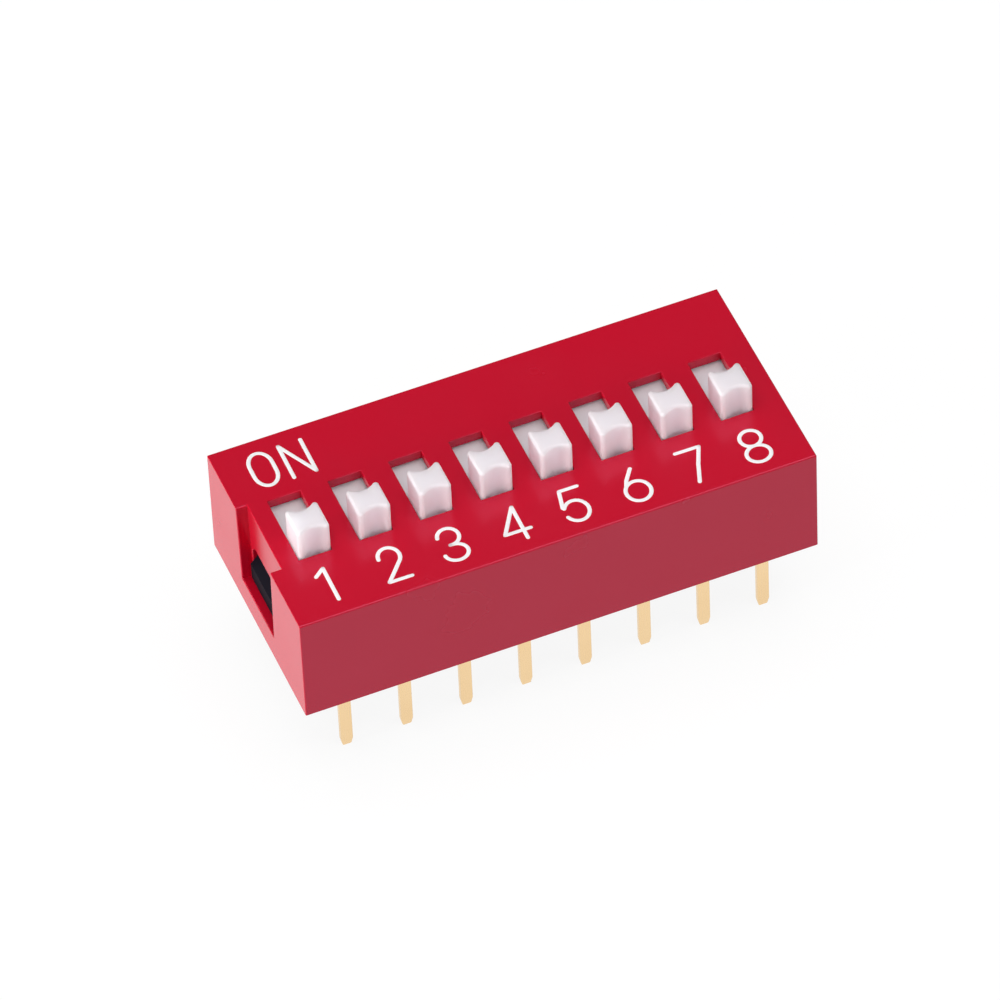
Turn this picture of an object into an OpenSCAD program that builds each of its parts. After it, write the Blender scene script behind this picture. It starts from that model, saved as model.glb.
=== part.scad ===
// Slide switches in a dual in-line package, with pins for through holes.
// Millimetres, +Z up. The origin is the middle of the seating plane. +X runs from
// position 1 to the last position, and +Y points to the ON side. Sliders stand at OFF.

/* [Array] */
// Number of switch positions
positions = 8; // [2:1:12]
// Distance between neighbouring positions, and between pins along a row
pitch = 2.54; // [2.3:0.01:3]
// Distance between the two rows of pins
row_spacing = 7.62; // [7:0.01:9]
// Way that a slider travels from OFF to ON
travel = 1.9; // [1.5:0.05:2.2]

/* [Cover] */
// Height of the cover above the seating plane
cover_h = 5.2; // [4.8:0.1:6.5]
// Thickness of the cover's top
top_wall = 0.42; // [0.3:0.02:0.7]
// Thickness of the cover's long walls
side_wall = 0.55; // [0.4:0.05:1]
// Thickness of the cover's end walls
end_wall = 0.94; // [0.7:0.01:1.3]
// Thickness of the ribs between the cells
rib_t = 0.5; // [0.3:0.05:0.7]
// Radius of the cover's upright corners
corner_r = 0.12; // [0.08:0.01:0.3]
// Radius of the edges round the cover's top
edge_r = 0.08; // [0.05:0.01:0.15]

/* [Ends] */
// Width of the recess in the end of the cover beside position 1, at its top
recess_w = 3.6; // [2.8:0.1:5]
// How much each side of the recess draws in towards its floor
recess_draft = 0.12; // [0.04:0.02:0.2]
// Height of the recess's floor above the seating plane
recess_floor = 1.25; // [0.8:0.05:1.6]
// Depth of the recess
recess_depth = 0.48; // [0.3:0.02:0.6]
// Width of the latch window in each end of the cover
window_w = 3.2; // [2.4:0.1:4.6]
// Height of the latch window
window_h = 1.9; // [1.6:0.05:2.4]
// Cut across the window's upper corners
window_cut = 0.35; // [0.1:0.05:0.6]

/* [Base] */
// Base material outside the pins
base_edge = 0.375; // [0.25:0.025:0.6]
// Height of the base's underside above the seating plane
base_lift = 0.15; // [0.05:0.05:0.4]
// Bevel that leads the base into the cover
lead_in = 0.12; // [0.05:0.01:0.2]
// How far a latch lug stands out past the depth of the recess
lug_proud = 0.12; // [0.04:0.02:0.3]
// Upright height of a latch lug, below its ramp
lug_land = 0.8; // [0.4:0.05:1]

/* [Slider] */
// Width of the knob
knob_w = 1.35; // [1:0.05:1.5]
// Length of the knob along its travel
knob_l = 1.4; // [1:0.05:1.6]
// Height of the knob above the cover
knob_h = 1.4; // [0.5:0.1:2]
// Depth of the finger groove in the knob's front and back
groove_depth = 0.2; // [0.1:0.02:0.3]
// Width of the finger groove
groove_w = 0.98; // [0.6:0.02:1]
// Radius of the knob's upright corners
knob_corner_r = 0.13; // [0.05:0.01:0.15]
// Radius of the edges round the knob's top
knob_edge_r = 0.12; // [0.05:0.01:0.2]
// Height of the slider below the cover's top
slider_h = 1.9; // [1.7:0.05:2.2]
// Thickness of the carrier plate that closes the slot
plate_t = 0.6; // [0.4:0.05:0.8]
// Least overlap of the carrier plate past the slot's ends
plate_lap = 0.25; // [0.1:0.05:0.4]
// Thickness of the walls at the ends of the contact's pocket
pocket_wall = 0.35; // [0.2:0.05:0.5]

/* [Contact] */
// Width of the bridging contact
contact_w = 1; // [0.6:0.05:1.1]
// Thickness of the bridging contact's strip
contact_t = 0.1; // [0.06:0.01:0.14]
// Height of the bridging contact
contact_h = 0.85; // [0.75:0.05:1]
// Distance between the contact's two feet
foot_spacing = 2; // [1.8:0.1:2.4]
// Radius of a foot, at the middle of the strip
foot_r = 0.18; // [0.14:0.01:0.22]
// Radius of the bend above an arm, at the middle of the strip
knee_r = 0.15; // [0.12:0.01:0.2]
// Length of the contact's flat back
back_l = 0.5; // [0.3:0.05:0.7]
// Slit that parts each foot into two fingers
slit_w = 0.2; // [0.1:0.02:0.3]

/* [Terminals] */
// Width of a pin
pin_w = 0.5; // [0.4:0.02:0.6]
// Thickness of the terminals' strip
pin_t = 0.25; // [0.2:0.01:0.3]
// Length of a pin below the seating plane
pin_l = 3.7; // [2.5:0.1:4.5]
// Length of a pin's tapered tip
tip_l = 0.35; // [0.2:0.05:1]
// Width of a pin at its tip
tip_w = 0.36; // [0.1:0.02:0.4]
// Thickness of a pin at its tip
tip_t = 0.17; // [0.08:0.01:0.2]
// Width of the contact pads
pad_w = 1.2; // [0.8:0.05:1.3]
// Insulating gap between the two pads of a position
pad_gap = 0.9; // [0.6:0.05:1.1]
// Inner radius of the bend from pin to pad
bend_r = 0.15; // [0.1:0.01:0.25]
// Height of the shoulder where a pin widens inside the base
shoulder_z = 1; // [0.6:0.1:1.3]

/* [Clearances] */
// Gap between base and cover
fit_gap = 0.04; // [0.02:0.01:0.06]
// Gap between a knob and its slot, on each side
knob_gap = 0.025; // [0.015:0.005:0.05]
// Gap between a slider and its cell, on each side, above and below
run_gap = 0.04; // [0.02:0.01:0.06]
// Gap between a terminal and the base
seat_gap = 0.02; // [0.01:0.01:0.03]
// Gap between a contact's feet and the pads
foot_gap = 0.02; // [0.01:0.01:0.04]

/* [Hidden] */
// Every cut runs past its face by this much
overrun = 0.2;
// Steps along each bend of a contact
bend_steps = 10;
// Turn of a foot past its lowest point, in degrees
foot_turn = 50;
// Directions in a side view, in degrees
up = 90;
down = 270;
$fn = 64;

// Cells and slots
cell_w = pitch - rib_t;
slot_w = knob_w + 2 * knob_gap;
slot_l = knob_l + travel + 2 * knob_gap;
cavity_l = (positions - 1) * pitch + cell_w;

// Base and cover in plan
base_l = cavity_l - 2 * fit_gap;
base_w = row_spacing + pin_t + 2 * base_edge;
cavity_w = base_w + 2 * fit_gap;
cover_l = cavity_l + 2 * end_wall;
cover_w = cavity_w + 2 * side_wall;

// Levels
ceiling_z = cover_h - top_wall;
plate_z = ceiling_z - run_gap;
skirt_z = plate_z - slider_h;
base_top = skirt_z - run_gap;
foot_z = base_top + foot_gap;
pocket_z = foot_z + contact_h;
window_top = recess_floor + window_h;

// Latch lugs
recess_x = cover_l / 2 - recess_depth;
lug_x = recess_x + lug_proud;
lug_z = recess_floor + fit_gap;
lug_w = window_w - 2 * fit_gap;

// Slider
slider_w = cell_w - 2 * run_gap;
slider_y = -travel / 2;
plate_l = slot_l + travel + 2 * plate_lap;
groove_r = (pow(groove_w / 2, 2) + pow(groove_depth, 2)) / (2 * groove_depth);

// Contact: the arms are the lines that touch both the knee's and the foot's circle
knee_y = back_l / 2;
knee_z = contact_h - contact_t / 2 - knee_r;
foot_y = foot_spacing / 2;
foot_mid_z = contact_t / 2 + foot_r;
arm_run = foot_y - knee_y;
arm_drop = knee_z - foot_mid_z;
arm_angle = atan2(arm_drop, arm_run) + asin((knee_r + foot_r) / norm([arm_run, arm_drop]));
contact_l = foot_spacing + 2 * (foot_r + contact_t / 2);
pocket_l = contact_l + 2 * run_gap;
pocket_w = contact_w + 2 * run_gap;
skirt_l = pocket_l + 2 * pocket_wall;

// Terminals: the front pad reaches past the middle, so that its foot never leaves it
pin_y = -row_spacing / 2;
bend_y = pin_y + pin_t / 2 + bend_r;
bend_z = base_top - pin_t - bend_r;
front_pad_y = foot_y - pad_gap / 2;
back_pad_y = -foot_y - pad_gap / 2;

cover_red = "#c4122c";
base_black = "#1d1b20";
slider_white = "#f2ecf4";
pin_gold = "#e6c08c";

// Place of a position along the row
function position_x(n) = (n - (positions + 1) / 2) * pitch;

// Points from a first angle to a last one round a middle
function arc(mid, r, first, last) = [
    for (i = [0:bend_steps])
        let (a = first + (last - first) * i / bend_steps)
            mid + r * [cos(a), sin(a)]
];

// An outline from its right half, given from top to bottom
function mirrored(half) = concat(
    half,
    [for (i = [len(half) - 1:-1:0]) [-half[i][0], half[i][1]]]
);

// Runs a profile drawn in Y and Z along X, about X = 0
module along_x(length) {
    rotate([90, 0, 90])
        linear_extrude(length, center = true)
            children();
}

// Runs a profile drawn in X and Z along Y, about Y = 0
module along_y(length) {
    rotate([90, 0, 0])
        linear_extrude(length, center = true)
            children();
}

// Block about X = 0 and Y = 0, between two levels
module block(size_x, size_y, bottom, top) {
    translate([-size_x / 2, -size_y / 2, bottom])
        cube([size_x, size_y, top - bottom]);
}

// Rectangle with four round corners, about its middle
module round_plan(size_x, size_y, r) {
    square([size_x - 2 * r, size_y], center = true);
    square([size_x, size_y - 2 * r], center = true);
    for (x = [-1, 1])
        for (y = [-1, 1])
            translate([x * (size_x / 2 - r), y * (size_y / 2 - r)])
                circle(r);
}

// Upright rectangle with its two upper corners round
module round_top(width, bottom, top, r) {
    translate([-width / 2, bottom])
        square([width, top - r - bottom]);
    translate([-width / 2 + r, bottom])
        square([width - 2 * r, top - bottom]);
    for (x = [-1, 1])
        translate([x * (width / 2 - r), top - r])
            circle(r);
}

// Block with round upright corners and round edges about its top
module soft_block(size_x, size_y, bottom, top, upright_r, top_r) {
    intersection() {
        translate([0, 0, bottom])
            linear_extrude(top - bottom)
                round_plan(size_x, size_y, upright_r);
        along_y(size_y + overrun)
            round_top(size_x, bottom, top, top_r);
        along_x(size_x + overrun)
            round_top(size_y, bottom, top, top_r);
    }
}

// Recess that marks the end beside position 1, open to the cover's top
module end_recess() {
    translate([-recess_x - (recess_depth + overrun) / 2, 0, 0])
        along_x(recess_depth + overrun)
            polygon(mirrored([
                [recess_w / 2, cover_h + overrun],
                [recess_w / 2, cover_h],
                [recess_w / 2 - recess_draft, recess_floor]
            ]));
}

// Latch window through the wall at the +X end of the cover
module latch_window() {
    translate([recess_x, 0, 0])
        along_x(2 * end_wall)
            polygon(mirrored([
                [window_w / 2 - window_cut, window_top],
                [window_w / 2, window_top - window_cut],
                [window_w / 2, recess_floor]
            ]));
}

module cover() {
    color(cover_red)
        difference() {
            soft_block(cover_l, cover_w, 0, cover_h, corner_r, edge_r);
            block(cavity_l, cavity_w, -overrun, base_top + fit_gap);
            for (n = [1:positions])
                translate([position_x(n), 0, 0]) {
                    block(cell_w, cavity_w, base_top, ceiling_z);
                    block(slot_w, slot_l, base_top, cover_h + overrun);
                }
            end_recess();
            for (end = [0, 1])
                mirror([end, 0, 0])
                    latch_window();
        }
}

// Latch lug at the +X end of the base: an upright land with a ramp above it
module latch_lug() {
    along_y(lug_w)
        polygon([
            [base_l / 2 - overrun, lug_z],
            [lug_x, lug_z],
            [lug_x, lug_z + lug_land],
            [base_l / 2, base_top],
            [base_l / 2 - overrun, base_top]
        ]);
}

module base() {
    color(base_black)
        difference() {
            union() {
                along_x(base_l)
                    polygon(mirrored([
                        [base_w / 2 - lead_in, base_top],
                        [base_w / 2, base_top - lead_in],
                        [base_w / 2, base_lift]
                    ]));
                for (end = [0, 1])
                    mirror([end, 0, 0])
                        latch_lug();
            }
            for (n = [1:2 * positions])
                at_terminal(n)
                    terminal_seat(terminal_pad_y(n));
        }
}

// Front view of a terminal: a wide head, a shoulder and a pin with a tapered tip
module terminal_front(gap, top) {
    polygon(mirrored([
        [pad_w / 2 + gap, top],
        [pad_w / 2 + gap, shoulder_z - gap],
        [pin_w / 2 + gap, shoulder_z - gap],
        [pin_w / 2 + gap, tip_l - pin_l],
        [tip_w / 2 + gap, -pin_l]
    ]));
}

// Fills the inside of the bend, from the middle of the strip to a radius
module bend_fill(r) {
    translate([bend_y, bend_z])
        difference() {
            translate([-bend_r - pin_t / 2, 0])
                square(bend_r + pin_t / 2);
            circle(r);
        }
}

// Bent strip of a terminal: the pin rises, bends inwards and ends in its pad
module bent_strip(pad_y) {
    outer_r = bend_r + pin_t;
    difference() {
        union() {
            along_x(pad_w)
                translate([pin_y, 0])
                    polygon(mirrored([
                        [pin_t / 2, base_top],
                        [pin_t / 2, tip_l - pin_l],
                        [tip_t / 2, -pin_l]
                    ]));
            along_x(pad_w)
                translate([pin_y - pin_t / 2, base_top - pin_t])
                    square([pad_y - pin_y + pin_t / 2, pin_t]);
            along_x(pad_w)
                bend_fill(bend_r);
        }
        along_x(pad_w + overrun)
            translate([bend_y, bend_z])
                difference() {
                    translate([-outer_r - overrun, 0])
                        square(outer_r + overrun);
                    circle(outer_r);
                }
    }
}

// Side view of the space that a terminal takes in the base, open at the top
module seat_side(pad_y) {
    leg_y = pin_y - pin_t / 2 - seat_gap;
    translate([leg_y, -overrun])
        square([pin_t + 2 * seat_gap, base_top + 2 * overrun]);
    translate([leg_y, base_top - pin_t - seat_gap])
        square([pad_y + seat_gap - leg_y, pin_t + seat_gap + overrun]);
    bend_fill(bend_r - seat_gap);
}

module terminal_seat(pad_y) {
    seat_top = base_top + overrun;
    intersection() {
        along_x(pad_w + 2 * seat_gap)
            seat_side(pad_y);
        along_y(base_w)
            terminal_front(seat_gap, seat_top);
    }
}

// Terminals count along the front row, and then back along the other row
function is_front(n) = n <= positions;
function terminal_pad_y(n) = is_front(n) ? front_pad_y : back_pad_y;

module at_terminal(n) {
    column = is_front(n) ? n : 2 * positions + 1 - n;
    translate([position_x(column), 0, 0])
        mirror([0, is_front(n) ? 0 : 1, 0])
            children();
}

module terminal(n) {
    color(pin_gold)
        at_terminal(n)
            intersection() {
                bent_strip(terminal_pad_y(n));
                along_y(base_w)
                    terminal_front(0, base_top);
            }
}

// Saddle knob: round corners and edges, with a finger groove in its front and back
module knob() {
    knob_top = cover_h + knob_h;
    difference() {
        soft_block(knob_w, knob_l, plate_z - plate_t / 2, knob_top, knob_corner_r, knob_edge_r);
        for (side = [-1, 1])
            translate([0, side * (knob_l / 2 + groove_r - groove_depth), plate_z])
                cylinder(h = knob_top - plate_z + overrun, r = groove_r);
    }
}

module slider(n) {
    color(slider_white)
        translate([position_x(n), slider_y, 0]) {
            difference() {
                along_x(slider_w)
                    polygon(mirrored([
                        [plate_l / 2, plate_z],
                        [plate_l / 2, plate_z - plate_t],
                        [skirt_l / 2, plate_z - plate_t],
                        [skirt_l / 2, skirt_z]
                    ]));
                block(pocket_w, pocket_l, skirt_z - overrun, pocket_z);
            }
            knob();
        }
}

// Bridging contact: a flat back, two sloping arms and two round feet, each slit in two
module contact(n) {
    knee = [knee_y, knee_z];
    foot = [foot_y, foot_mid_z];
    half_t = contact_t / 2;
    upper = concat(
        arc(knee, knee_r + half_t, up, up - arm_angle),
        arc(foot, foot_r - half_t, down - arm_angle, down + foot_turn)
    );
    lower = concat(
        arc(foot, foot_r + half_t, down + foot_turn, down - arm_angle),
        arc(knee, knee_r - half_t, up - arm_angle, up)
    );
    color(pin_gold)
        translate([position_x(n), slider_y, foot_z])
            difference() {
                along_x(contact_w)
                    polygon(mirrored(concat(upper, lower)));
                for (side = [-1, 1])
                    translate([0, side * (knee_y + contact_l / 2), 0])
                        block(slit_w, contact_l, -overrun, contact_h + overrun);
            }
}

cover();
base();
for (n = [1:positions])
    slider(n);
for (n = [1:positions])
    contact(n);
for (n = [1:2 * positions])
    terminal(n);
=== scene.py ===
"""Looks, light and camera of a red eight-way slide switch with two rows of pins.

Meshes are made in millimetres in the part's frame and scaled to metres at the end. +X runs from position 1
to position 8, +Y points to the ON side and +Z points up from the seating plane.
"""

import logging
import math
from collections.abc import Callable, Mapping, Sequence
from dataclasses import dataclass, field
from enum import Enum
from typing import Any

import bmesh
import bpy
from mathutils import Matrix, Quaternion, Vector


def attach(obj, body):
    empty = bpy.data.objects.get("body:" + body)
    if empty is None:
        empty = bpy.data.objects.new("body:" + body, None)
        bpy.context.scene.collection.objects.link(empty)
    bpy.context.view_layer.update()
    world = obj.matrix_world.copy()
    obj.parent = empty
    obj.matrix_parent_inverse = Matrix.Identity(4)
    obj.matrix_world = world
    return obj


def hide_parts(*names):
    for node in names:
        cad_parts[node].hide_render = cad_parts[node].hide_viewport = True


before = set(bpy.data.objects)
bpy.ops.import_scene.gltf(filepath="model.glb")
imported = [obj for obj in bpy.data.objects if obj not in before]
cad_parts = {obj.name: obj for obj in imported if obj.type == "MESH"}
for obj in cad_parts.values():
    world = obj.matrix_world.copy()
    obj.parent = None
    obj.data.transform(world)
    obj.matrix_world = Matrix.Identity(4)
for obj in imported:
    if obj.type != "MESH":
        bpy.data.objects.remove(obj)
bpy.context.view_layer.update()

Point = tuple[float, float, float]
Flat = tuple[float, float]
Stroke = list[Flat]

MM = 0.001
# Faces that turn less than this are one flat face
FLAT_TURN = math.radians(0.5)
# An edge that turns more than this is hard
HARD_TURN = math.radians(40)
# An edge that still turns more than this after the rounding is kept sharp
SQUARE_TURN = math.radians(60)
# Points nearer than this, in millimetres, are at one place or on one level
LEVEL = 1e-4
# The Mix node has sockets of one name for each type of data, so those for colours go by number
MIX_SHARE = 0
MIX_FIRST = 6
MIX_SECOND = 7
MIX_RESULT = 2

log = logging.getLogger("slide_switch")


class Slot(Enum):
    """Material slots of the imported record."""

    COVER = "cover_red"
    SLIDER = "slider_white"
    TERMINAL = "terminal_gold"


class PinRow(Enum):
    """The two rows of terminals, by the side of the package that they stand on."""

    FRONT = -1
    BACK = 1


def linear(hex_colour: str) -> tuple[float, float, float, float]:
    """Turn an sRGB colour into linear RGBA.

    Args:
        hex_colour: Colour as "#rrggbb".

    Returns:
        Linear red, green and blue, with an alpha of 1.
    """
    shares = [int(hex_colour[i:i + 2], 16) / 255 for i in (1, 3, 5)]
    red, green, blue = (s / 12.92 if s <= 0.04045 else ((s + 0.055) / 1.055) ** 2.4 for s in shares)
    return red, green, blue, 1.0


def add_node(tree: bpy.types.NodeTree, kind: str, inputs: Mapping[str | int, Any] | None = None,
             **settings: Any) -> bpy.types.Node:
    """Add a node with its settings, and set or link its inputs.

    Args:
        tree: Node tree that gets the node.
        kind: Blender's name for the type of node.
        inputs: Input socket's name or number, with a value or the output socket that feeds it.
        **settings: Properties of the node itself.

    Returns:
        The new node.
    """
    node = tree.nodes.new(kind)
    for name, value in settings.items():
        setattr(node, name, value)
    for key, value in (inputs or {}).items():
        if isinstance(value, bpy.types.NodeSocket):
            tree.links.new(value, node.inputs[key])
        else:
            node.inputs[key].default_value = value
    return node


def cleared_tree(owner: bpy.types.Material | bpy.types.World) -> bpy.types.NodeTree:
    """Switch on the nodes of a material or a world, and clear them.

    Args:
        owner: Material or world that uses the tree.

    Returns:
        The empty tree.
    """
    owner.use_nodes = True
    owner.node_tree.nodes.clear()
    return owner.node_tree


def loft(bm: bmesh.types.BMesh, rings: Sequence[Sequence[Point]]) -> None:
    """Add a closed skin through rings that all have the same number of points.

    Args:
        bm: Mesh that gets the skin, in millimetres.
        rings: Rings from one end to the other; the first and the last one are closed by a face.
    """
    rows = [[bm.verts.new(point) for point in ring] for ring in rings]
    for lower, upper in zip(rows, rows[1:]):
        for i in range(len(lower)):
            bm.faces.new((lower[i - 1], lower[i], upper[i], upper[i - 1]))
    bm.faces.new(reversed(rows[0]))
    bm.faces.new(rows[-1])


def block(bm: bmesh.types.BMesh, low: Point, high: Point) -> None:
    """Add a closed block between two corners, in millimetres."""
    plan = [(low[0], low[1]), (high[0], low[1]), (high[0], high[1]), (low[0], high[1])]
    loft(bm, [[(x, y, z) for x, y in plan] for z in (low[2], high[2])])


def new_object(name: str, bm: bmesh.types.BMesh) -> bpy.types.Object:
    """Make a mesh object from a bmesh, with its faces pointing outwards.

    Args:
        name: Name of the object and its mesh.
        bm: Mesh in millimetres, which is freed.

    Returns:
        The new object, in the scene.
    """
    bmesh.ops.recalc_face_normals(bm, faces=bm.faces)
    mesh = bpy.data.meshes.new(name)
    bm.to_mesh(mesh)
    bm.free()
    obj = bpy.data.objects.new(name, mesh)
    bpy.context.scene.collection.objects.link(obj)
    return obj


def bake(obj: bpy.types.Object) -> None:
    """Turn an object with its modifiers into a plain mesh.

    Args:
        obj: Object that keeps the result and loses its modifiers.
    """
    depsgraph = bpy.context.evaluated_depsgraph_get()
    mesh = bpy.data.meshes.new_from_object(obj.evaluated_get(depsgraph), preserve_all_data_layers=True,
                                           depsgraph=depsgraph)
    raw = obj.data
    obj.modifiers.clear()
    obj.data = mesh
    bpy.data.meshes.remove(raw)
    mesh.name = obj.name


def combine(obj: bpy.types.Object, tool: bpy.types.Object, operation: str) -> None:
    """Cut a tool out of an object or fuse it on, and remove the tool.

    Args:
        obj: Object that is changed.
        tool: Closed solid, with its own modifiers if it has any.
        operation: "DIFFERENCE" or "UNION".
    """
    modifier = obj.modifiers.new(operation, "BOOLEAN")
    modifier.operation = operation
    modifier.solver = "EXACT"
    modifier.object = tool
    bake(obj)
    bpy.data.objects.remove(tool)


def soften(obj: bpy.types.Object, share: Callable[[bmesh.types.BMEdge], float], radius: float = 0.0,
           segments: int = 1) -> None:
    """Round outer edges, keep the other hard edges sharp and shade the rest smooth.

    Args:
        obj: Solid in millimetres.
        share: Gives an outer edge's share of the radius, or 0 where it stays sharp.
        radius: Largest radius of the rounding.
        segments: Faces across the rounding.
    """
    bm = bmesh.new()
    bm.from_mesh(obj.data)
    bmesh.ops.remove_doubles(bm, verts=bm.verts, dist=LEVEL)
    bmesh.ops.dissolve_limit(bm, angle_limit=FLAT_TURN, verts=bm.verts, edges=bm.edges)
    weight = bm.edges.layers.float.new("bevel_weight_edge")
    for face in bm.faces:
        face.smooth = True
    for edge in bm.edges:
        turn = edge.calc_face_angle_signed(0.0)
        edge[weight] = share(edge) if turn > HARD_TURN else 0.0
        edge.smooth = edge[weight] > 0 or abs(turn) < HARD_TURN
    reach = [(min(v.co[i] for v in bm.verts), max(v.co[i] for v in bm.verts)) for i in range(3)]
    bm.to_mesh(obj.data)
    bevel = obj.modifiers.new("rounding", "BEVEL")
    bevel.limit_method = "WEIGHT"
    bevel.width = radius
    bevel.segments = segments
    bevel.use_clamp_overlap = False
    bake(obj)
    bm.clear()
    bm.from_mesh(obj.data)
    for edge in bm.edges:
        edge.smooth = edge.smooth and edge.calc_face_angle(0.0) < SQUARE_TURN
    # A rounded corner where several edges meet may stand a hair proud of the solid
    for vertex in bm.verts:
        vertex.co = [min(max(value, low), high) for value, (low, high) in zip(vertex.co, reach)]
    bm.to_mesh(obj.data)
    bm.free()
    normals = obj.modifiers.new("flat faces stay flat", "WEIGHTED_NORMAL")
    normals.keep_sharp = True
    bake(obj)


def hand_over(obj: bpy.types.Object, material: bpy.types.Material | None, body: str,
              nodes: Sequence[str] = ()) -> None:
    """Scale a finished mesh to metres, dress it and join it to the part.

    Args:
        obj: Finished piece in millimetres, with no modifiers.
        material: Finish, or None where the mesh has it already.
        body: Body that carries the piece.
        nodes: CAD nodes that the piece stands for.
    """
    obj.data.transform(Matrix.Scale(MM, 4))
    if material:
        obj.data.materials.clear()
        obj.data.materials.append(material)
    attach(obj, body)
    if nodes:
        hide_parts(*nodes)
    replaced = ", ".join(nodes) or "no node"
    log.info("%s: %d faces on %s, for %s", obj.name, len(obj.data.polygons), body, replaced)


class NodeMesh:
    """A Geometry Nodes tree with named inputs, used as a modifier."""

    def __init__(self, name: str, inputs: Mapping[str, str]) -> None:
        """Start a tree.

        Args:
            name: Name of the tree.
            inputs: Label of each size input, with the type of its socket.
        """
        self.tree = bpy.data.node_groups.new(name, "GeometryNodeTree")
        sockets = self.tree.interface
        sockets.new_socket("Geometry", in_out="INPUT", socket_type="NodeSocketGeometry")
        kinds = {**inputs, "Material": "NodeSocketMaterial"}
        self.identifiers = {label: sockets.new_socket(label, in_out="INPUT", socket_type=kind).identifier
                            for label, kind in kinds.items()}
        sockets.new_socket("Geometry", in_out="OUTPUT", socket_type="NodeSocketGeometry")
        self.given = add_node(self.tree, "NodeGroupInput").outputs

    def close(self, geometry: bpy.types.NodeSocket) -> None:
        """End the tree in real meshes that have their material.

        Args:
            geometry: Output that holds the finished geometry.
        """
        real = add_node(self.tree, "GeometryNodeRealizeInstances", {"Geometry": geometry})
        dressed = add_node(self.tree, "GeometryNodeSetMaterial",
                           {"Geometry": real.outputs["Geometry"], "Material": self.given["Material"]})
        add_node(self.tree, "NodeGroupOutput", {"Geometry": dressed.outputs["Geometry"]})

    def put_on(self, obj: bpy.types.Object, values: Mapping[str, Any]) -> None:
        """Add the tree to an object as a modifier.

        Args:
            obj: Object whose mesh is the tree's geometry.
            values: Label of each input, with its value.
        """
        modifier = obj.modifiers.new(self.tree.name, "NODES")
        modifier.node_group = self.tree
        for label, value in values.items():
            modifier[self.identifiers[label]] = value


class RepeatedRow(NodeMesh):
    """Repeats a piece at even steps along a line."""

    def __init__(self) -> None:
        """Build the tree."""
        super().__init__("repeated_row", {"Count": "NodeSocketInt", "First": "NodeSocketVector",
                                          "Step": "NodeSocketVector"})
        line = add_node(self.tree, "GeometryNodeMeshLine",
                        {"Count": self.given["Count"], "Start Location": self.given["First"],
                         "Offset": self.given["Step"]}, mode="OFFSET")
        copies = add_node(self.tree, "GeometryNodeInstanceOnPoints",
                          {"Points": line.outputs["Mesh"], "Instance": self.given["Geometry"]})
        self.close(copies.outputs["Instances"])


class InkStroke(NodeMesh):
    """Lays a low, round-ended line of ink along each drawn path."""

    cap_rings: int = 8

    def __init__(self) -> None:
        """Build the tree."""
        super().__init__("ink_stroke", {"Stroke Width": "NodeSocketFloat", "Ink Height": "NodeSocketFloat",
                                        "Top Level": "NodeSocketFloat", "Facets": "NodeSocketInt"})
        given = self.given
        radius = add_node(self.tree, "ShaderNodeMath", {0: given["Stroke Width"], 1: 2.0},
                          operation="DIVIDE").outputs["Value"]
        paths = add_node(self.tree, "GeometryNodeMeshToCurve", {"Mesh": given["Geometry"]}).outputs["Curve"]
        section = add_node(self.tree, "GeometryNodeCurvePrimitiveCircle",
                           {"Resolution": given["Facets"], "Radius": radius})
        lines = add_node(self.tree, "GeometryNodeCurveToMesh",
                         {"Curve": paths, "Profile Curve": section.outputs["Curve"]})
        ends = add_node(self.tree, "GeometryNodeCurveEndpointSelection")
        ball = add_node(self.tree, "GeometryNodeMeshUVSphere",
                        {"Segments": given["Facets"], "Rings": self.cap_rings, "Radius": radius})
        caps = add_node(self.tree, "GeometryNodeInstanceOnPoints",
                        {"Points": paths, "Selection": ends.outputs["Selection"],
                         "Instance": ball.outputs["Mesh"]})
        whole = add_node(self.tree, "GeometryNodeJoinGeometry", {"Geometry": lines.outputs["Mesh"]})
        self.tree.links.new(caps.outputs["Instances"], whole.inputs["Geometry"])
        flatness = add_node(self.tree, "ShaderNodeMath", {0: given["Ink Height"], 1: radius},
                            operation="DIVIDE").outputs["Value"]
        scale = add_node(self.tree, "ShaderNodeCombineXYZ", {"X": 1.0, "Y": 1.0, "Z": flatness})
        lift = add_node(self.tree, "ShaderNodeCombineXYZ", {"Z": given["Top Level"]})
        flat = add_node(self.tree, "GeometryNodeTransform",
                        {"Geometry": whole.outputs["Geometry"], "Translation": lift.outputs["Vector"],
                         "Scale": scale.outputs["Vector"]})
        smooth = add_node(self.tree, "GeometryNodeSetShadeSmooth", {"Geometry": flat.outputs["Geometry"]})
        self.close(smooth.outputs["Geometry"])


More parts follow.
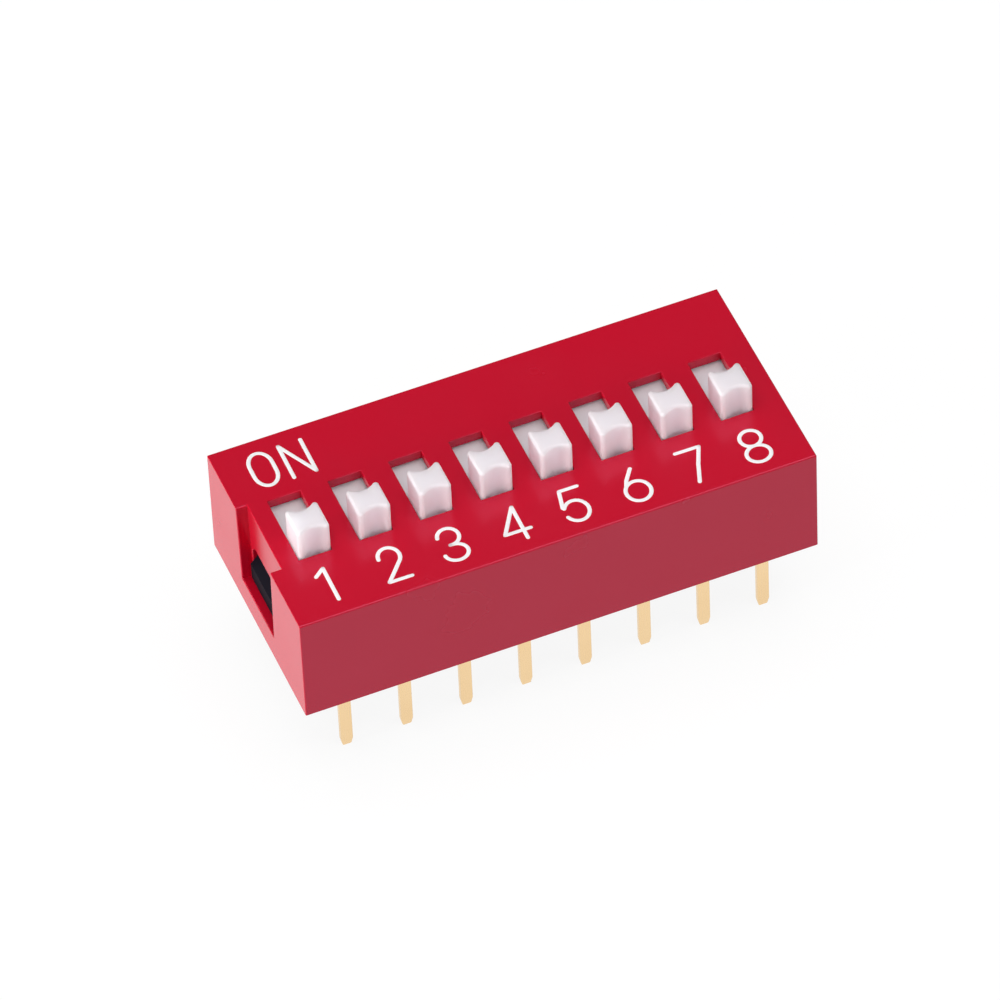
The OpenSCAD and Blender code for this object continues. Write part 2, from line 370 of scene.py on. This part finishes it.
@dataclass(frozen=True)
class MouldedPlastic:
    """Thermoplastic from a spark-eroded mould: even colour, fine satin grain and faint flow clouds."""

    name: str
    colour: str
    clouded: str
    roughness: float
    ior: float
    gloss_tint: str = "#ffffff"
    grain: float = 0.11
    grain_height: float = 0.0012
    cloud: float = 3.0
    depth: float = 0.0
    reach: float = 0.4
    gloss_spread: float = 0.04
    cloud_detail: float = 3.0
    grain_detail: float = 2.0

    def make(self) -> bpy.types.Material:
        """Build the material.

        Returns:
            Material whose grain and clouds are sized in millimetres.
        """
        material = bpy.data.materials.new(self.name)
        tree = cleared_tree(material)
        place = add_node(tree, "ShaderNodeTexCoord").outputs["Object"]
        clouds = add_node(tree, "ShaderNodeTexNoise", {"Vector": place, "Scale": 1 / (self.cloud * MM),
                                                       "Detail": self.cloud_detail}).outputs["Fac"]
        colour = add_node(tree, "ShaderNodeMix", {MIX_SHARE: clouds, MIX_FIRST: linear(self.colour),
                                                  MIX_SECOND: linear(self.clouded)}, data_type="RGBA")
        gloss = add_node(tree, "ShaderNodeMapRange", {"Value": clouds,
                                                      "To Min": self.roughness - self.gloss_spread,
                                                      "To Max": self.roughness + self.gloss_spread})
        # Grain of the mould, drawn about twice as coarse as real so that it shows
        grain = add_node(tree, "ShaderNodeTexNoise", {"Vector": place, "Scale": 1 / (self.grain * MM),
                                                      "Detail": self.grain_detail})
        relief = add_node(tree, "ShaderNodeBump", {"Strength": 1.0, "Distance": self.grain_height * MM,
                                                   "Height": grain.outputs["Fac"]})
        shader = add_node(tree, "ShaderNodeBsdfPrincipled",
                          {"Base Color": colour.outputs[MIX_RESULT], "Roughness": gloss.outputs["Result"],
                           "IOR": self.ior, "Specular Tint": linear(self.gloss_tint),
                           "Normal": relief.outputs["Normal"], "Subsurface Weight": self.depth,
                           "Subsurface Radius": (1.0, 1.0, 1.0), "Subsurface Scale": self.reach * MM})
        add_node(tree, "ShaderNodeOutputMaterial", {"Surface": shader.outputs["BSDF"]})
        return material


@dataclass(frozen=True)
class GoldPlate:
    """Gold flash on stamped bronze strip: warm mirror broken by fine rolling lines along the strip."""

    name: str
    colour: str
    worn: str
    roughness: float
    line: float = 0.05
    line_length: float = 1.6
    line_height: float = 0.0008
    gloss_spread: float = 0.06
    detail: float = 2.0

    def make(self) -> bpy.types.Material:
        """Build the material.

        Returns:
            Material whose rolling lines run along Z, sized in millimetres.
        """
        material = bpy.data.materials.new(self.name)
        tree = cleared_tree(material)
        place = add_node(tree, "ShaderNodeTexCoord").outputs["Object"]
        # Rolling lines, drawn a few times as coarse as real so that they show
        fine, long = 1 / (self.line * MM), 1 / (self.line_length * MM)
        stretched = add_node(tree, "ShaderNodeMapping", {"Vector": place, "Scale": (fine, fine, long)})
        lines = add_node(tree, "ShaderNodeTexNoise", {"Vector": stretched.outputs["Vector"], "Scale": 1.0,
                                                      "Detail": self.detail}).outputs["Fac"]
        patches = add_node(tree, "ShaderNodeTexNoise", {"Vector": place, "Scale": long,
                                                        "Detail": self.detail}).outputs["Fac"]
        colour = add_node(tree, "ShaderNodeMix", {MIX_SHARE: patches, MIX_FIRST: linear(self.colour),
                                                  MIX_SECOND: linear(self.worn)}, data_type="RGBA")
        gloss = add_node(tree, "ShaderNodeMapRange", {"Value": lines,
                                                      "To Min": self.roughness - self.gloss_spread,
                                                      "To Max": self.roughness + self.gloss_spread})
        relief = add_node(tree, "ShaderNodeBump", {"Strength": 1.0, "Distance": self.line_height * MM,
                                                   "Height": lines})
        shader = add_node(tree, "ShaderNodeBsdfPrincipled",
                          {"Base Color": colour.outputs[MIX_RESULT], "Metallic": 1.0,
                           "Roughness": gloss.outputs["Result"], "Normal": relief.outputs["Normal"]})
        add_node(tree, "ShaderNodeOutputMaterial", {"Surface": shader.outputs["BSDF"]})
        return material


@dataclass(frozen=True)
class StudioFloor:
    """White table top that stays white behind the part, and still takes its shadow."""

    name: str
    colour: str
    bounce: str
    own_light: float
    whiteness: float

    def make(self) -> bpy.types.Material:
        """Build the material.

        Returns:
            Matt and greyer for the light that it throws back, and mostly plain white for the eye and in
            reflections.
        """
        material = bpy.data.materials.new(self.name)
        tree = cleared_tree(material)
        path = add_node(tree, "ShaderNodeLightPath").outputs
        mirrored = add_node(tree, "ShaderNodeMath", {0: path["Is Glossy Ray"],
                                                     1: path["Is Transmission Ray"]}, operation="ADD")
        seen = add_node(tree, "ShaderNodeMath", {0: path["Is Camera Ray"], 1: mirrored.outputs["Value"]},
                        operation="ADD", use_clamp=True).outputs["Value"]
        share = add_node(tree, "ShaderNodeMath", {0: seen, 1: self.own_light}, operation="MULTIPLY")
        colour = add_node(tree, "ShaderNodeMix", {MIX_SHARE: seen, MIX_FIRST: linear(self.bounce),
                                                  MIX_SECOND: linear(self.colour)}, data_type="RGBA")
        matt = add_node(tree, "ShaderNodeBsdfDiffuse", {"Color": colour.outputs[MIX_RESULT]})
        white = add_node(tree, "ShaderNodeEmission", {"Strength": self.whiteness})
        mix = add_node(tree, "ShaderNodeMixShader", {0: share.outputs["Value"], 1: matt.outputs["BSDF"],
                                                     2: white.outputs["Emission"]})
        add_node(tree, "ShaderNodeOutputMaterial", {"Surface": mix.outputs["Shader"]})
        return material


@dataclass
class Layout:
    """What all pieces share: the positions along the row."""

    positions: int = 8
    pitch: float = 2.54

    def x(self, position: int) -> float:
        """Place of a position along the row."""
        return (position - (self.positions + 1) / 2) * self.pitch

    def repeat(self, material: bpy.types.Material) -> dict[str, Any]:
        """Inputs that repeat a piece at every position."""
        return {"Count": self.positions, "First": (self.x(1), 0.0, 0.0), "Step": (self.pitch, 0.0, 0.0),
                "Material": material}


@dataclass
class CoverShell:
    """The red cap: eight slots, ribbed cells inside, latch windows, and a recess beside position 1."""

    layout: Layout
    length: float = 21.7
    width: float = 9.8
    height: float = 5.2
    ceiling: float = 4.78
    cavity: Flat = (19.82, 8.7)
    cavity_top: float = 2.84
    cell_width: float = 2.04
    slot: Flat = (1.4, 3.35)
    recess_x: float = 10.37
    recess_width: float = 3.6
    recess_draft: float = 0.12
    recess_floor: float = 1.25
    window_width: float = 3.2
    window_top: float = 3.15
    window_cut: float = 0.35
    edge_radius: float = 0.06
    edge_steps: int = 3
    upright_share: float = 0.8
    slot_share: float = 0.4
    overrun: float = 0.2

    def centred(self, name: str, size: Flat, low: float, high: float) -> bpy.types.Object:
        """Make a block about X = 0 and Y = 0, between two levels.

        Args:
            name: Name of the block.
            size: Its length and width.
            low: Its lower level.
            high: Its upper level.

        Returns:
            The block, in the scene.
        """
        bm = bmesh.new()
        block(bm, (-size[0] / 2, -size[1] / 2, low), (size[0] / 2, size[1] / 2, high))
        return new_object(name, bm)

    def recess(self) -> bpy.types.Object:
        """Make the cutter of the recess, which is open to the cover's top and draws in towards its floor.

        Returns:
            The cutter, in the scene.
        """
        bm = bmesh.new()
        half, far = self.recess_width / 2, self.length / 2 + self.overrun
        side = [(half - self.recess_draft, self.recess_floor), (half, self.height),
                (half, self.height + self.overrun)]
        side += [(-y, z) for y, z in reversed(side)]
        loft(bm, [[(x, y, z) for y, z in side] for x in (-far, -self.recess_x)])
        return new_object("recess", bm)

    def windows(self) -> bpy.types.Object:
        """Make the cutter of both latch windows, which have their upper corners cut.

        Returns:
            The cutter, in the scene.
        """
        bm = bmesh.new()
        half, cut, top = self.window_width / 2, self.window_cut, self.window_top
        outline = [(-half, self.recess_floor), (half, self.recess_floor), (half, top - cut),
                   (half - cut, top), (cut - half, top), (-half, top - cut)]
        inner, outer = self.cavity[0] / 2 - self.overrun, self.length / 2 + self.overrun
        for ends in ((-outer, -inner), (inner, outer)):
            loft(bm, [[(x, y, z) for y, z in outline] for x in ends])
        return new_object("windows", bm)

    def rounding(self, edge: bmesh.types.BMEdge) -> float:
        """Give an edge's share of the rounding.

        Args:
            edge: Outer edge of the cover.

        Returns:
            1 round the top, less round a slot and on an upright edge, and 0 at the rim or inside the cover.
        """
        places = [v.co for v in edge.verts]
        outside = all(abs(p.y) > self.width / 2 - LEVEL or abs(p.x) > self.recess_x - LEVEL for p in places)
        if all(p.z > self.height - LEVEL for p in places):
            return 1.0 if outside else self.slot_share
        at_rim = all(p.z < LEVEL for p in places)
        return self.upright_share if outside and not at_rim else 0.0

    def build(self, row: RepeatedRow, material: bpy.types.Material) -> None:
        """Make the cover and join it to the part.

        Args:
            row: Tree that repeats the cells and slots.
            material: Finish of the cover.
        """
        shell = self.centred("cover_shell", (self.length, self.width), 0.0, self.height)
        combine(shell, self.centred("cavity", self.cavity, -self.overrun, self.cavity_top), "DIFFERENCE")
        below = self.cavity_top - self.overrun
        cells = self.centred("cells", (self.cell_width, self.cavity[1]), below, self.ceiling)
        slots = self.centred("slots", self.slot, below, self.height + self.overrun)
        for cutter in (cells, slots):
            row.put_on(cutter, self.layout.repeat(material))
            combine(shell, cutter, "DIFFERENCE")
        combine(shell, self.recess(), "DIFFERENCE")
        combine(shell, self.windows(), "DIFFERENCE")
        soften(shell, self.rounding, self.edge_radius, self.edge_steps)
        hand_over(shell, material, "housing", ["cover"])


@dataclass
class SliderSet:
    """The white sliders: a saddle-shaped knob on a flat carrier plate, with a contact's pocket below."""

    layout: Layout
    knob: Flat = (1.35, 1.4)
    knob_top: float = 6.6
    groove_depth: float = 0.2
    groove_width: float = 0.98
    corner_radius: float = 0.13
    edge_radius: float = 0.12
    plate: Flat = (1.96, 5.75)
    plate_top: float = 4.74
    plate_bottom: float = 4.14
    skirt_length: float = 3.24
    skirt_bottom: float = 2.84
    pocket: Flat = (1.08, 2.54)
    pocket_top: float = 3.67
    rest_y: float = -0.95
    steps: int = 8
    overrun: float = 0.2

    def saddle(self) -> list[tuple[Vector, Vector]]:
        """Draw the knob's plan: a finger groove in its front and back, and round lips beside them.

        Returns:
            Points with their outward directions, anticlockwise from the middle of the front groove.
        """
        (width, length), depth, lip = self.knob, self.groove_depth, self.corner_radius
        groove = ((self.groove_width / 2) ** 2 + depth ** 2) / (2 * depth)
        # The lip's circle touches the groove's circle and the knob's front
        rise = groove - depth + lip
        reach = math.sqrt((groove + lip) ** 2 - rise ** 2)
        meeting, front = math.atan2(reach, rise), lip - length / 2
        arcs = [(Vector((reach, front)), -math.pi / 2 - meeting, -math.pi / 2),
                (Vector((width / 2 - lip, front)), -math.pi / 2, 0.0)]
        quarter = []
        for i in range(self.steps):
            way = Vector((math.sin(meeting * i / self.steps), math.cos(meeting * i / self.steps)))
            quarter.append((Vector((0.0, depth - length / 2 - groove)) + groove * way, -way))
        for middle, first, last in arcs:
            for i in range(self.steps + 1):
                angle = first + (last - first) * i / self.steps
                way = Vector((math.cos(angle), math.sin(angle)))
                quarter.append((middle + lip * way, way))
        turned = [(-p, -n) for p, n in quarter]
        flip = Matrix(((1, 0), (0, -1)))
        back = [(flip @ p, flip @ n) for p, n in reversed(quarter[1:])]
        return quarter + back + turned + [(-p, -n) for p, n in back]

    def knob_rings(self) -> list[list[Point]]:
        """Draw the knob from inside its plate up to its round top edge.

        Returns:
            Rings of points from the lowest to the highest.
        """
        outline, radius = self.saddle(), self.edge_radius
        levels = [(0.0, self.plate_top - self.overrun)]
        for i in range(self.steps + 1):
            angle = math.pi / 2 * i / self.steps
            levels.append((radius * (1 - math.cos(angle)), self.knob_top - radius * (1 - math.sin(angle))))
        return [[(p.x - inset * n.x, p.y - inset * n.y, z) for p, n in outline] for inset, z in levels]

    def model(self) -> bpy.types.Object:
        """Make one slider about X = 0 and Y = 0.

        Returns:
            The slider, in the scene.
        """
        body, knob, pocket = bmesh.new(), bmesh.new(), bmesh.new()
        half_plate, half_skirt = self.plate[1] / 2, self.skirt_length / 2
        side = [(half_plate, self.plate_top), (half_plate, self.plate_bottom),
                (half_skirt, self.plate_bottom), (half_skirt, self.skirt_bottom)]
        side += [(-y, z) for y, z in reversed(side)]
        loft(body, [[(x, y, z) for y, z in side] for x in (-self.plate[0] / 2, self.plate[0] / 2)])
        slider = new_object("slider_model", body)
        half = Vector(self.pocket) / 2
        block(pocket, (-half.x, -half.y, self.skirt_bottom - self.overrun), (half.x, half.y, self.pocket_top))
        combine(slider, new_object("pocket", pocket), "DIFFERENCE")
        loft(knob, self.knob_rings())
        combine(slider, new_object("knob", knob), "UNION")
        # The knob is drawn with its rounding, so no edge is rounded here
        soften(slider, lambda edge: 0.0)
        return slider

    def build(self, material: bpy.types.Material) -> None:
        """Make a slider at every position and join it to the part.

        Args:
            material: Finish of the sliders.
        """
        model = self.model()
        for position in range(1, self.layout.positions + 1):
            slider = model.copy()
            slider.name = f"switch_slider_{position}"
            slider.data = model.data.copy()
            slider.data.name = slider.name
            bpy.context.scene.collection.objects.link(slider)
            slider.data.transform(Matrix.Translation((self.layout.x(position), self.rest_y, 0.0)))
            hand_over(slider, material, f"switch_{position}", [f"slider_{position}"])
        bpy.data.objects.remove(model)


@dataclass
class TerminalRow:
    """A row of stamped terminals: a tapered pin, a shoulder, a bend and a contact pad."""

    layout: Layout
    side: PinRow
    pad_end: float
    pin_y: float = 3.81
    pin: Flat = (0.5, 0.25)
    tip: Flat = (0.36, 0.17)
    pin_length: float = 3.7
    tip_length: float = 0.35
    pad_width: float = 1.2
    pad_top: float = 2.8
    bend_radius: float = 0.15
    shoulder: float = 1.0
    shoulder_slope: float = 0.15
    edge_radius: float = 0.035
    edge_steps: int = 2
    bend_steps: int = 8

    def sections(self) -> list[list[Point]]:
        """Draw the strip's sections from the pad's end to the pin's tip.

        Returns:
            Rings of four corners each.
        """
        thick = self.pin[1]
        reach = self.pin_y - thick / 2 - self.bend_radius
        drop = self.pad_top - thick - self.bend_radius
        middle = self.bend_radius + thick / 2
        path = [(self.pad_end, drop + middle, 0.0, self.pad_width, thick)]
        for i in range(self.bend_steps + 1):
            angle = math.pi / 2 * i / self.bend_steps
            y, z = reach + middle * math.sin(angle), drop + middle * math.cos(angle)
            path.append((y, z, angle, self.pad_width, thick))
        upright = [(self.shoulder + self.shoulder_slope, self.pad_width, thick),
                   (self.shoulder, self.pin[0], thick),
                   (self.tip_length - self.pin_length, self.pin[0], thick), (-self.pin_length, *self.tip)]
        path += [(self.pin_y, z, math.pi / 2, width, deep) for z, width, deep in upright]
        rings = []
        for y, z, angle, width, deep in path:
            across, along = deep / 2 * math.sin(angle), deep / 2 * math.cos(angle)
            corners = ((-1, 1), (1, 1), (1, -1), (-1, -1))
            rings.append([(side * width / 2, self.side.value * (y + face * across), z + face * along)
                          for side, face in corners])
        return rings

    def build(self, row: RepeatedRow, material: bpy.types.Material) -> None:
        """Make the row and join it to the part.

        Args:
            row: Tree that repeats the terminal.
            material: Finish of the terminals.
        """
        bm = bmesh.new()
        loft(bm, self.sections())
        pins = new_object(f"terminal_row_{self.side.name.lower()}", bm)
        soften(pins, lambda edge: 1.0, self.edge_radius, self.edge_steps)
        row.put_on(pins, self.layout.repeat(material))
        bake(pins)
        first = 1 if self.side is PinRow.FRONT else self.layout.positions + 1
        nodes = [f"terminal_{n}" for n in range(first, first + self.layout.positions)]
        hand_over(pins, None, "housing", nodes)


def bow(middle: Flat, radii: Flat, start: float, end: float, steps: int = 20) -> Stroke:
    """Draw part of an ellipse.

    Args:
        middle: Middle of the ellipse.
        radii: Half its width and half its height.
        start: First angle in degrees.
        end: Last angle in degrees.
        steps: Straight pieces along the bow.

    Returns:
        Points from the first angle to the last one.
    """
    angles = [math.radians(start + (end - start) * i / steps) for i in range(steps + 1)]
    return [(middle[0] + radii[0] * math.cos(a), middle[1] + radii[1] * math.sin(a)) for a in angles]


@dataclass
class TopPrint:
    """White print on the cover's top: the position numbers, and ON on the side of the ON stop."""

    layout: Layout
    level: float
    digit: Flat = (1.0, 1.72)
    digit_foot: float = -4.23
    digit_shift: float = 0.007
    letter: Flat = (0.93, 1.77)
    letter_foot: float = 2.34
    letter_places: tuple[float, float] = (-9.13, -7.71)
    stroke_width: float = 0.162
    ink_height: float = 0.006
    facets: int = 12
    # The stamp sat a little askew
    turn: float = -0.45
    drawn: list[Stroke] = field(default_factory=list)

    def figures(self) -> dict[str, list[Stroke]]:
        """Draw the figures as strokes with no sharp corners.

        Returns:
            Strokes of each figure, in a cell that is 1 wide about 0, and 1 high.
        """
        return {
            "1": [[(-0.4, 0.81), (0.0, 1.0)], [(0.0, 1.0), (0.0, 0.0)]],
            "2": [[*bow((0.02, 0.72), (0.43, 0.28), 180, -42), (-0.44, 0.0)], [(-0.44, 0.0), (0.5, 0.0)]],
            "3": [[*bow((-0.04, 0.745), (0.43, 0.255), 172, -90), (-0.12, 0.49)],
                  [(-0.12, 0.49), *bow((-0.03, 0.245), (0.48, 0.245), 90, -176)]],
            "4": [[(0.24, 1.0), (-0.53, 0.26)], [(-0.53, 0.26), (0.54, 0.26)],
                  [(0.24, 1.0), (0.24, 0.0)]],
            "5": [[(0.44, 1.0), (-0.31, 1.0)], [(-0.31, 1.0), (-0.5, 0.5)],
                  bow((-0.03, 0.315), (0.49, 0.315), 152, -158)],
            "6": [[(0.14, 1.0), (-0.24, 0.68), *bow((0.01, 0.305), (0.5, 0.305), 138, 498, 44)]],
            "7": [[(-0.5, 1.0), (0.5, 1.0)], [(0.5, 1.0), (0.13, 0.5), (-0.17, 0.0)]],
            "8": [bow((-0.03, 0.755), (0.43, 0.245), 0, 360, 40),
                  bow((-0.03, 0.255), (0.49, 0.255), 0, 360, 40)],
            "O": [[*bow((0.0, 0.64), (0.5, 0.36), 0, 180), *bow((0.0, 0.36), (0.5, 0.36), 180, 360),
                   (0.5, 0.64)]],
            "N": [[(-0.5, 0.0), (-0.5, 1.0)], [(-0.5, 1.0), (0.5, 0.0)], [(0.5, 0.0), (0.5, 1.0)]],
        }

    def place(self, strokes: Sequence[Stroke], size: Flat, x: float, foot: float) -> None:
        """Put a figure on the cover.

        Args:
            strokes: The figure in its cell.
            size: Width and height of the cell.
            x: Middle of the figure.
            foot: Level of the figure's foot across the cover.
        """
        skew = Matrix.Rotation(math.radians(self.turn), 2)
        for stroke in strokes:
            points = [skew @ Vector((x + size[0] * u, foot + size[1] * v)) for u, v in stroke]
            self.drawn.append([(p.x, p.y) for p in points])

    def build(self, ink: InkStroke, material: bpy.types.Material) -> None:
        """Make the print and join it to the part.

        Args:
            ink: Tree that lays the ink along the strokes.
            material: Finish of the ink.
        """
        figures = self.figures()
        for position in range(1, self.layout.positions + 1):
            x = self.layout.x(position) + self.digit_shift
            self.place(figures[str(position)], self.digit, x, self.digit_foot)
        for letter, x in zip("ON", self.letter_places):
            self.place(figures[letter], self.letter, x, self.letter_foot)
        bm = bmesh.new()
        for stroke in self.drawn:
            verts = [bm.verts.new((x, y, 0.0)) for x, y in stroke]
            for pair in zip(verts, verts[1:]):
                bm.edges.new(pair)
        print_piece = new_object("top_print", bm)
        ink.put_on(print_piece, {"Stroke Width": self.stroke_width, "Ink Height": self.ink_height,
                                 "Top Level": self.level, "Facets": self.facets, "Material": material})
        bake(print_piece)
        hand_over(print_piece, None, "housing")


@dataclass(frozen=True)
class SoftLamp:
    """A square lamp that looks at the part, from a turn about Z and a height above the table in degrees.

    Its distance and size are in metres, and its level is that of a white card which faces it.
    """

    name: str
    turn: float
    height: float
    level: float
    distance: float = 0.9
    size: float = 0.55
    # A low lamp that the top mirrors would turn it white from the other side
    mirrored: bool = False

    def hang(self) -> None:
        """Add the lamp, with the power that lights a facing white card to its level."""
        lamp = bpy.data.lights.new(self.name, "AREA")
        lamp.size = self.size
        lamp.energy = self.level * (math.pi * self.distance) ** 2
        obj = bpy.data.objects.new(self.name, lamp)
        obj.visible_glossy = self.mirrored
        turn, height = math.radians(self.turn), math.radians(self.height)
        way = Vector((math.cos(height) * math.cos(turn), math.cos(height) * math.sin(turn), math.sin(height)))
        obj.location = way * self.distance
        obj.rotation_euler = way.to_track_quat("Z", "Y").to_euler()
        bpy.context.scene.collection.objects.link(obj)


@dataclass
class Studio:
    """White table, soft lamps and the camera at the photograph's angle.

    The table's level and the camera's places are in millimetres, the table's size and the camera's range in
    metres, and angles in degrees.
    """

    floor_level: float
    floor_size: float = 6.0
    lamps: tuple[SoftLamp, ...] = (
        SoftLamp("overhead", 0, 90, 0.91, size=1.0, mirrored=True),
        SoftLamp("left_low", 183, 5, 0.93, size=0.25),
        SoftLamp("left_back", 140, 14, 0.2),
        SoftLamp("left_front", 228, 12, 0.38),
        SoftLamp("right_front", 320, 10, 0.38),
    )
    room: float = 0.08
    horizon: float = 0.3
    horizon_fade: Flat = (6.0, 14.0)
    camera_place: Point = (-87.021, -232.175, 278.243)
    aim: Point = (-0.038, 1.412, 1.179)
    roll: float = -2.837
    lens: float = 340.74
    sensor: float = 36.0
    sight_range: Flat = (0.01, 20.0)

    def lay_floor(self, material: bpy.types.Material) -> None:
        """Lay the table under the pins.

        Args:
            material: Finish of the table.
        """
        bm = bmesh.new()
        half, z = self.floor_size / 2, self.floor_level * MM
        corners = ((-half, -half), (half, -half), (half, half), (-half, half))
        bm.faces.new([bm.verts.new((x, y, z)) for x, y in corners])
        floor = new_object("table", bm)
        floor.data.materials.append(material)

    def set_room(self) -> None:
        """Make the room dim overhead and pale along the horizon."""
        world = bpy.data.worlds.new("studio_room")
        tree = cleared_tree(world)
        way = add_node(tree, "ShaderNodeTexCoord").outputs["Generated"]
        height = add_node(tree, "ShaderNodeSeparateXYZ", {"Vector": way}).outputs["Z"]
        low, high = (math.sin(math.radians(angle)) for angle in self.horizon_fade)
        light = add_node(tree, "ShaderNodeMapRange",
                         {"Value": height, "From Min": low, "From Max": high, "To Min": self.horizon,
                          "To Max": self.room}, interpolation_type="SMOOTHSTEP")
        sky = add_node(tree, "ShaderNodeBackground", {"Strength": light.outputs["Result"]})
        add_node(tree, "ShaderNodeOutputWorld", {"Surface": sky.outputs["Background"]})
        bpy.context.scene.world = world

    def set_camera(self) -> None:
        """Put the camera where the photograph was taken from."""
        data = bpy.data.cameras.new("camera")
        data.lens = self.lens
        data.sensor_width = self.sensor
        data.clip_start, data.clip_end = self.sight_range
        camera = bpy.data.objects.new("camera", data)
        place, aim = Vector(self.camera_place) * MM, Vector(self.aim) * MM
        camera.location = place
        camera.rotation_mode = "QUATERNION"
        tilt = Quaternion((0.0, 0.0, 1.0), math.radians(self.roll))
        camera.rotation_quaternion = (aim - place).to_track_quat("-Z", "Y") @ tilt
        bpy.context.scene.collection.objects.link(camera)
        bpy.context.scene.camera = camera

    def build(self, floor: bpy.types.Material) -> None:
        """Set up the table, the light and the camera.

        Args:
            floor: Finish of the table.
        """
        bpy.context.scene.view_settings.view_transform = "Standard"
        self.lay_floor(floor)
        self.set_room()
        for lamp in self.lamps:
            lamp.hang()
        self.set_camera()


# PBT, moulded: deep even red with a cool satin gloss, which pales where it mirrors the white table at a
# flat angle
COVER_RED = MouldedPlastic("red_moulded_pbt", "#c90626", "#c50523", 0.26, 1.55, gloss_tint="#cbcbff")
# Nylon, moulded: cool white, softly lit from within and tinted by the red beside it
SLIDER_WHITE = MouldedPlastic("white_moulded_nylon", "#f1edf9", "#eeeaf6", 0.4, 1.5, depth=0.9, reach=1.5)
# Glass-filled PBT, moulded: near black with a faint violet cast
BASE_BLACK = MouldedPlastic("black_moulded_pbt", "#110e19", "#0e0c15", 0.8, 1.3)
# Screen ink: flat, opaque white
PRINT_WHITE = MouldedPlastic("white_screen_ink", "#fbfafb", "#f7f6f8", 0.55, 1.5, grain=0.06)
# Gold flash on phosphor bronze: pale warm metal that takes the table's white
PIN_GOLD = GoldPlate("gold_plated_bronze", "#f8d9aa", "#f2d09f", 0.26)
# Matt table top: a plain white ground with a faint shadow
TABLE_WHITE = StudioFloor("white_table_top", "#fbfbfb", "#646464", 0.88, 1.02)


def dress_nodes(names: Sequence[str], material: bpy.types.Material) -> None:
    """Give CAD nodes that stay in view their finish.

    Args:
        names: Names of the nodes.
        material: Their finish.
    """
    for name in names:
        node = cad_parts[name]
        node.data.materials.clear()
        node.data.materials.append(material)
        log.info("%s: CAD node with %s", name, material.name)


def main() -> None:
    """Build the pieces in order, then the studio."""
    logging.basicConfig(level=logging.INFO)
    layout, row = Layout(), RepeatedRow()
    cover = CoverShell(layout)
    cover.build(row, COVER_RED.make())
    SliderSet(layout).build(SLIDER_WHITE.make())
    gold = PIN_GOLD.make()
    front_pins = TerminalRow(layout, PinRow.FRONT, pad_end=-0.55)
    front_pins.build(row, gold)
    TerminalRow(layout, PinRow.BACK, pad_end=1.45).build(row, gold)
    TopPrint(layout, cover.height).build(InkStroke(), PRINT_WHITE.make())
    dress_nodes(["base"], BASE_BLACK.make())
    dress_nodes([f"contact_{n}" for n in range(1, layout.positions + 1)], gold)
    Studio(-front_pins.pin_length).build(TABLE_WHITE.make())


if __name__ == "__main__":
    main()
